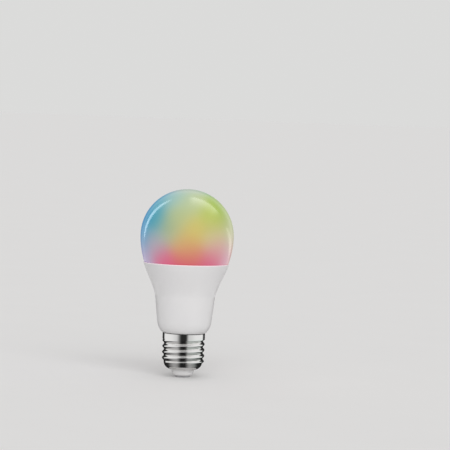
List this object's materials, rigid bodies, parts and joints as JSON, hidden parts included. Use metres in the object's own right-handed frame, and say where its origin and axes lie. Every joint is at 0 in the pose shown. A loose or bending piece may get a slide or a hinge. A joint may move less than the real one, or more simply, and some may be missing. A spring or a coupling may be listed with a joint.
{
  "type": "smart light bulb",
  "caption": "Smart LED bulb: pear-shaped diffuser on a flared white housing with a threaded screw cap; light engine, radio board and mains driver inside.",
  "frame": {"origin": "middle of the flat face of the centre contact, at the very end of the screw cap", "axes": "+Z along the bulb's axis from the centre contact to the crown of the diffuser; the driver and radio boards stand in planes of constant Y, with the driver's tall parts on the +Y side"},
  "size_m": [0.058, 0.058, 0.117],
  "materials": {
    "diffuser": "glossy milky polycarbonate, lit from inside in blended colours",
    "silicone": "cured translucent white silicone",
    "housing": "satin white moulded plastic",
    "nickel": "bright nickel-plated brass sheet",
    "insulator": "pale moulded plastic",
    "contact_metal": "tinned brass",
    "heat_sink": "deep-drawn, satin",
    "thermal_pad": "soft filled silicone sheet",
    "white_board": "white solder mask on an aluminium core",
    "screw_steel": "zinc plated",
    "warm_led": "deep yellow phosphor in a white package",
    "cool_led": "pale yellow phosphor in a white package",
    "colour_led": "clear window over the dice in a white package",
    "blue_board": "blue solder mask on glass epoxy",
    "green_board": "green solder mask on glass epoxy",
    "black_plastic": "moulded, matt",
    "tinned_can": "tinned sheet",
    "copper_trace": "etched copper under thin mask",
    "capacitor_sleeve": "shrunk sleeve over an aluminium can",
    "film_capacitor": "moulded box",
    "ferrite": "ground ferrite",
    "winding": "insulating tape over enamelled wire",
    "fuse_coating": "lacquered body with colour bands",
    "varistor_coating": "dipped epoxy",
    "red_wire": "insulated lead",
    "black_wire": "insulated lead"
  },
  "bodies": {
    "root": {"diffuser_globe": "diffuser", "globe_adhesive_bead": "silicone", "outer_housing": "housing", "screw_shell": "nickel", "cap_insulator": "insulator", "centre_contact": "contact_metal", "heat_sink_cup": "heat_sink", "thermal_pad": "thermal_pad", "led_board": "white_board", "board_screw_1": "screw_steel", "board_screw_2": "screw_steel", "warm_white_led_1": "warm_led", "warm_white_led_2": "warm_led", "warm_white_led_3": "warm_led", "warm_white_led_4": "warm_led", "warm_white_led_5": "warm_led", "warm_white_led_6": "warm_led", "cool_white_led_1": "cool_led", "cool_white_led_2": "cool_led", "cool_white_led_3": "cool_led", "cool_white_led_4": "cool_led", "cool_white_led_5": "cool_led", "cool_white_led_6": "cool_led", "colour_led_1": "colour_led", "colour_led_2": "colour_led", "colour_led_3": "colour_led", "colour_led_4": "colour_led", "colour_led_5": "colour_led", "colour_led_6": "colour_led", "radio_board": "blue_board", "radio_header": "black_plastic", "radio_shield_can": "tinned_can", "radio_crystal": "tinned_can", "radio_antenna": "copper_trace", "driver_board": "green_board", "led_header": "black_plastic", "bulk_capacitor": "capacitor_sleeve", "output_capacitor": "capacitor_sleeve", "film_capacitor": "film_capacitor", "transformer_core": "ferrite", "transformer_bobbin": "black_plastic", "transformer_winding": "winding", "choke_core": "ferrite", "choke_winding": "winding", "bridge_rectifier": "black_plastic", "power_ic": "black_plastic", "led_driver_ic": "black_plastic", "fuse_resistor": "fuse_coating", "varistor": "varistor_coating", "line_wire": "red_wire", "neutral_wire": "black_wire"}
  },
  "joints": []
}
